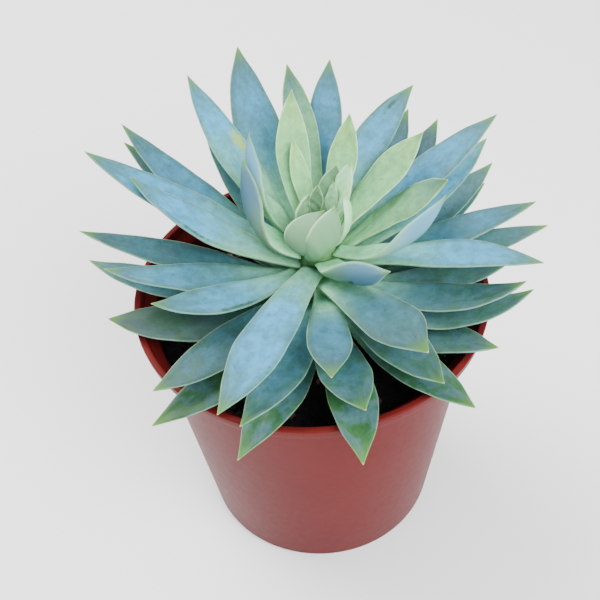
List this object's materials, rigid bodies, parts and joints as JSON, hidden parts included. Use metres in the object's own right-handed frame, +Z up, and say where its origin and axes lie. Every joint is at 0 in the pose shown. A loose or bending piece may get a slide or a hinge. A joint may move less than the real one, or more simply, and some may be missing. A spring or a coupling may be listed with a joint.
{
  "type": "potted succulent",
  "caption": "Potted sedeveria: a loose rosette of long pointed fleshy leaves, blue-green outside and pale green within, in a round tapered plastic nursery pot.",
  "frame": {"origin": "centre of the pot's base, on the surface that the pot stands on", "axes": "+Z up along the pot's axis; -Y is the front, the side that the reference picture looks at from above"},
  "size_m": [0.116, 0.1052, 0.118],
  "materials": {
    "pot": "satin",
    "soil": "matte",
    "stem": "matte",
    "leaf": "matte",
    "bud": "matte"
  },
  "bodies": {
    "root": {"pot": "pot", "soil": "soil", "stem": "stem", "crown": "bud", "leaf_01": "leaf", "leaf_02": "leaf", "leaf_03": "leaf", "leaf_04": "leaf", "leaf_05": "leaf", "leaf_06": "leaf", "leaf_07": "leaf", "leaf_08": "leaf", "leaf_09": "leaf", "leaf_10": "leaf", "leaf_11": "leaf", "leaf_12": "leaf", "leaf_13": "leaf", "leaf_14": "leaf", "leaf_15": "leaf", "leaf_16": "leaf", "leaf_17": "leaf", "leaf_18": "leaf", "leaf_19": "leaf", "leaf_20": "leaf", "leaf_21": "leaf", "leaf_22": "leaf", "leaf_23": "leaf", "leaf_24": "leaf", "leaf_25": "leaf", "leaf_26": "leaf", "leaf_27": "leaf", "leaf_28": "leaf", "leaf_29": "leaf", "leaf_30": "leaf", "leaf_31": "leaf", "leaf_32": "leaf", "leaf_33": "leaf", "leaf_34": "leaf", "leaf_35": "leaf", "leaf_36": "leaf", "leaf_37": "leaf", "leaf_38": "leaf", "leaf_39": "leaf", "leaf_40": "leaf", "leaf_41": "leaf", "leaf_42": "leaf", "leaf_43": "leaf", "leaf_44": "leaf", "leaf_45": "leaf", "leaf_46": "leaf", "leaf_47": "leaf", "leaf_48": "leaf", "leaf_49": "leaf", "leaf_50": "leaf", "leaf_51": "leaf", "leaf_52": "leaf", "leaf_53": "leaf", "leaf_54": "leaf"}
  },
  "joints": []
}
